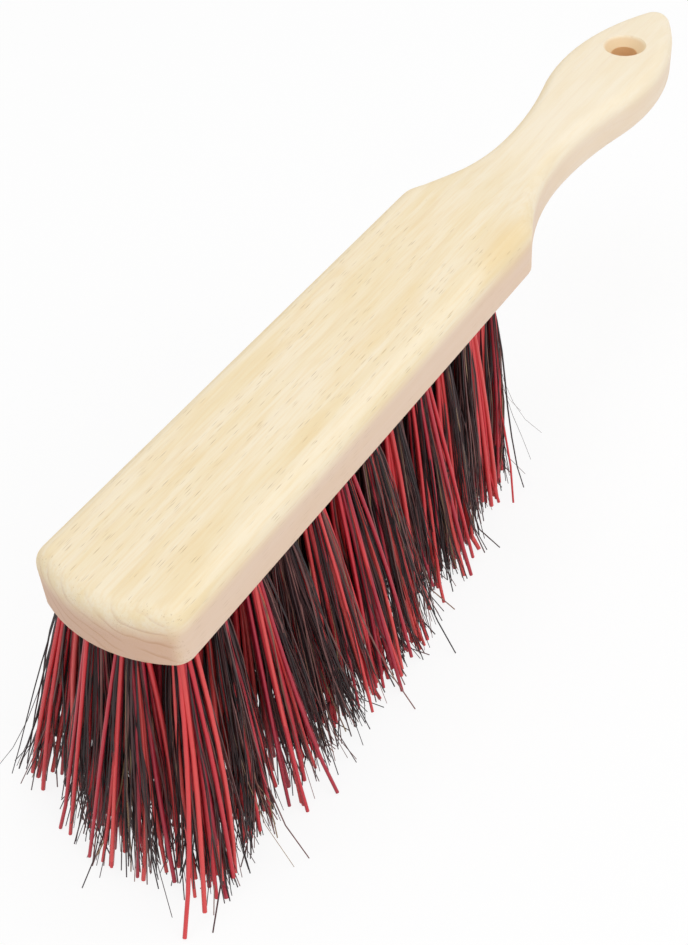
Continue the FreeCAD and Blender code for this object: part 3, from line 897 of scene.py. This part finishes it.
# %% [markdown]
# ## Dark fibres
# The palm fibres are thinner, there are many more of them, and no two are alike: some are crooked, some
# broken off short, and a few stand away from the tuft. Yet they aren't strewn evenly either. They cling
# together in locks, so a tuft gets its locks first, each with a place and a lean, and every fibre of a lock
# then has its own luck on top of that.

# %% Dark fibre paths
DARK_RADIUS = 0.2 * MM
DARK_RADIUS_SPREAD = (0.6, 1.5)
LOCKS = 12
LOCK_SIZE = (8, 13)
LOCK_WIDTH = 0.36
LOCK_LEAN = 3.5 * MM
DARK_REACH = {"mu": 0.97, "sigma": 0.045}
DARK_REACH_LIMIT = 1.06
DARK_LEAN = 3.5 * MM
DARK_BOW = 2.4 * MM
DARK_WAVE = 1.0 * MM
BROKEN_SHARE = 0.12
BROKEN_REACH = (0.6, 0.88)
WILD_SHARE = 0.03
WILD_LEAN = 5.0 * MM
HOOKED_SHARE = 0.3
HOOK_SIZE = 5.0 * MM


def dark_fibres(line):
    """The paths and radii of one tuft's dark fibres."""
    paths = []
    radii = []
    fibres = []
    for _ in range(LOCKS):
        place = random_spot()
        lean = random_spot() * LOCK_LEAN
        fibres += [(place, lean)] * chance.randint(*LOCK_SIZE)
    for place, lean in fibres:
        spot = place + random_spot() * LOCK_WIDTH
        radius = DARK_RADIUS * chance.uniform(*DARK_RADIUS_SPREAD)
        reach = min(DARK_REACH_LIMIT, chance.gauss(**DARK_REACH))
        if chance.random() < BROKEN_SHARE:
            reach = chance.uniform(*BROKEN_REACH)
        splay = lean + random_spot() * DARK_LEAN
        if chance.random() < WILD_SHARE:
            splay += (spot.normalized() + random_spot()) * WILD_LEAN
        hook = random_spot() * HOOK_SIZE if chance.random() < HOOKED_SHARE else STRAIGHT
        bow = random_spot() * DARK_BOW
        wave = random_spot() * DARK_WAVE
        paths.append(bristle_path(line, spot, reach, radius, bow, wave, splay, hook))
        radii.append(radius)
    return paths, radii


print("dark fibres: up to", LOCKS * LOCK_SIZE[1], "in a tuft")


# %% [markdown]
# ## Strays
# A used broom has a few bristles that went their own way: a red one with a bent tip in the last tuft, fine
# hairs behind it, long bristles along the right side and at the nose. Chance would put them anywhere, so
# they are listed one by one: the tuft's number, the place in the tuft, the reach, where splay and hook carry
# the bristle, and its radius. The last three are in millimetres.

# %% List the strays
STRAYS = {
    ("right_outer", "red"): (
        (12, (0.6, -0.5), 0.97, (-7, -12), (-4, 2), 0.36),
        (3, (0.3, -0.8), 1.02, (-1, -6), (0, 0), 0.55),
        (1, (-0.9, -0.4), 1.0, (-7, 0), (0, 0), 0.60),
    ),
    ("right_outer", "dark"): (
        (12, (1.0, 0.2), 0.80, (26, -5), (0, 0), 0.07),
        (12, (1.0, -0.4), 0.90, (18, -8), (3, 0), 0.08),
        (12, (0.8, -0.6), 0.95, (11, -8), (-4, 2), 0.11),
        (7, (0.2, -1.0), 1.00, (0, -9), (0, 0), 0.30),
        (5, (0.4, -1.0), 1.00, (2, -9), (0, 0), 0.28),
        (2, (-0.4, -1.0), 1.00, (-3, -8), (4, -3), 0.22),
    ),
    ("left_outer", "dark"): (
        (1, (-0.6, 0.9), 0.96, (-5, 5), (-4, 3), 0.12),
        (2, (-0.2, 1.0), 0.90, (-3, 7), (0, 0), 0.12),
    ),
}


def stray_paths(row, kind):
    """The paths and radii of one row's strays of one kind."""
    paths = []
    radii = []
    for number, spot, reach, splay, hook, radius in STRAYS.get((row, kind), ()):
        line = tuft_lines[row][number - 1]
        bent = {"splay": Vector((*splay, 0)) * MM, "hook": Vector((*hook, 0)) * MM}
        paths.append(bristle_path(line, Vector((*spot, 0)), reach, radius * MM, **bent))
        radii.append(radius * MM)
    return paths, radii


print("strays:", sum(len(strays) for strays in STRAYS.values()))


# %% [markdown]
# ## Setting the tufts
# A brush maker sets one tuft after the other, row by row, and so does this cell. All bristles of a row and a
# kind become one piece, which stands in for the row's plain tufts. One piece per tuft would do as well, but
# the tufts mingle at their tips, and a row is what one sees. Red filaments get more sides and hardly any
# taper, dark fibres fewer sides and a thin tip, and most of them a dark tone.

# %% Set the tufts row by row
def set_row(row, kind, maker, finish, slot, taper, sides_level, tone_power):
    """Draws one row's bristles of one kind as one piece."""
    paths, radii = stray_paths(row, kind)
    for line in tuft_lines[row]:
        more_paths, more_radii = maker(line)
        paths += more_paths
        radii += more_radii
    piece = draw_bristles("bristles_" + row + "_" + kind, paths, radii, taper, sides_level)
    label_bristles(piece, [chance.random() ** tone_power for _ in paths])
    piece.data.materials.clear()
    piece.data.materials.append(finish)
    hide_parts(*tuft_names[row])
    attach(piece, BODY)
    print(piece.name, len(paths), "bristles,", len(piece.data.polygons), "faces")


RED_FORM = {"taper": 0.1, "sides_level": 1, "tone_power": 1.0}
DARK_FORM = {"taper": 0.35, "sides_level": 0, "tone_power": 1.6}
for row in ROWS:
    set_row(row, "red", red_filaments, red_plastic, "bristle_red", **RED_FORM)
    set_row(row, "dark", dark_fibres, dark_fibre, "bristle_dark", **DARK_FORM)


# %% [markdown]
# ## The anchors
# A strip of bright steel wire holds every folded tuft in its hole. The strips are sound as they are in
# the construction model and hardly show, so they stay and get a drawn-wire finish.

# %% Finish the anchors
WIRE_LINES_PER_METRE = (4000, 200, 4000)
GREY_STOPS = ((0.3, colour(150, 150, 152)), (0.7, colour(190, 190, 192)))
STEEL_LEAST_ROUGH = 0.25
STEEL_MORE_ROUGH = 0.2


def drawn_steel():
    """Drawn steel wire: a grey metal with fine lines."""
    material, tree, shader = new_material("drawn_steel")
    coordinates = add_node(tree, "TexCoord")
    stretch = add_node(tree, "Mapping")
    stretch.inputs["Scale"].default_value = WIRE_LINES_PER_METRE
    tree.links.new(coordinates.outputs["Object"], stretch.inputs["Vector"])
    noise = add_node(tree, "TexNoise")
    tree.links.new(stretch.outputs["Vector"], noise.inputs["Vector"])
    noise.inputs["Scale"].default_value = 1.0
    lines = noise.outputs["Fac"]
    tree.links.new(ramp(tree, lines, GREY_STOPS), shader.inputs["Base Color"])
    shader.inputs["Metallic"].default_value = 1.0
    rough = reckon(tree, "MULTIPLY_ADD", lines, STEEL_MORE_ROUGH, STEEL_LEAST_ROUGH)
    tree.links.new(rough, shader.inputs["Roughness"])
    return material


anchors = frame["nodes"]["anchors"]
anchors.data.materials.clear()
anchors.data.materials.append(drawn_steel())
print("anchors finished:", len(anchors.data.polygons), "faces")
